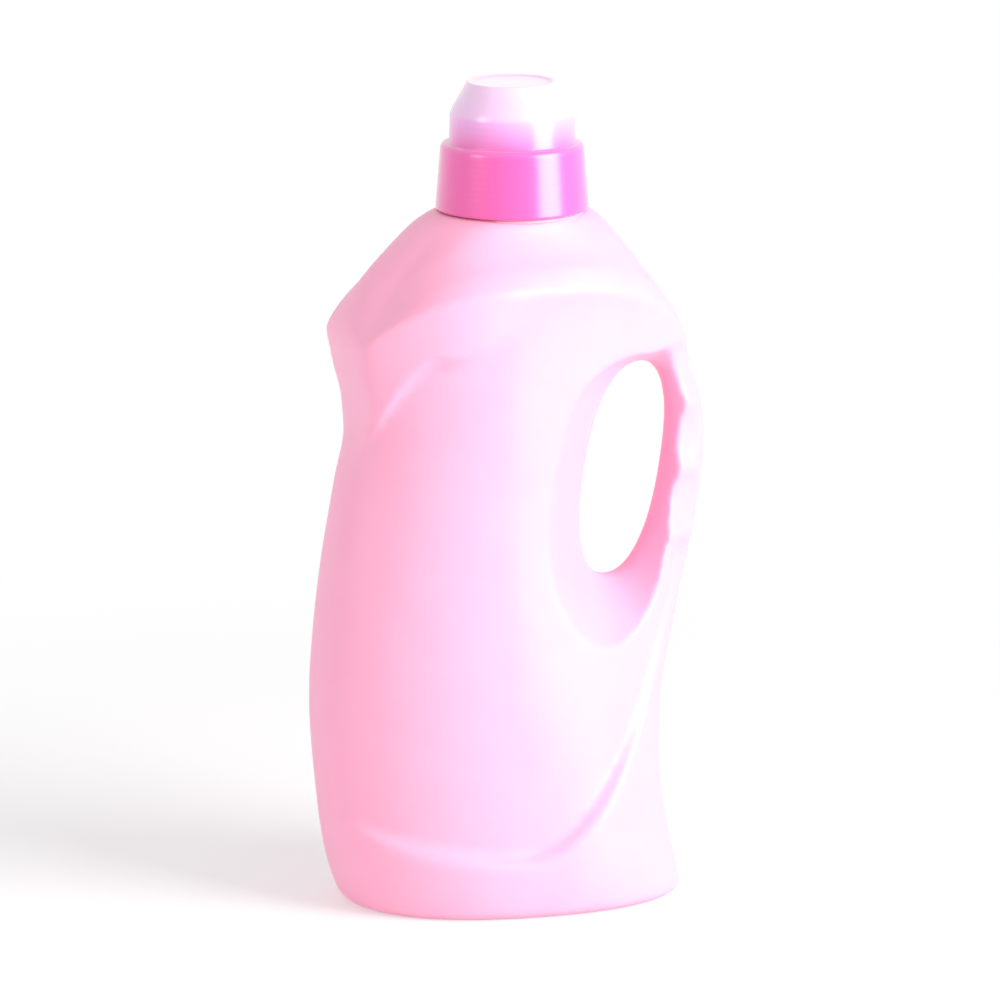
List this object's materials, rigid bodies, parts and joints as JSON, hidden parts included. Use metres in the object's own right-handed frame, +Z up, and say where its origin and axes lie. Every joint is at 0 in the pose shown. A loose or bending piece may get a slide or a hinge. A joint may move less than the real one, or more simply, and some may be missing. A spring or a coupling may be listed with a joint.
{
  "type": "fabric softener bottle",
  "caption": "Upright oval blow-moulded bottle with a through handle, sunk side panels and a stepped translucent dosing cap over a pouring spout.",
  "frame": {"origin": "on the standing plane of the base, under the axis of the neck", "axes": "+Z up along the neck, +X from the neck towards the handle, +Y to the side"},
  "size_m": [0.1439, 0.0928, 0.29],
  "materials": {
    "bottle_hdpe": "satin blow-moulded",
    "spout_plastic": "moulded",
    "cap_plastic": "polished translucent"
  },
  "bodies": {
    "bottle": {"bottle": "bottle_hdpe", "pour_spout": "spout_plastic"},
    "cap": {"dosing_cap": "cap_plastic"}
  },
  "joints": [
    {"name": "cap_lift", "type": "slide", "parent": "bottle", "child": "cap", "axis": [0, 0, 1], "range_m": [0, 0.06]}
  ]
}
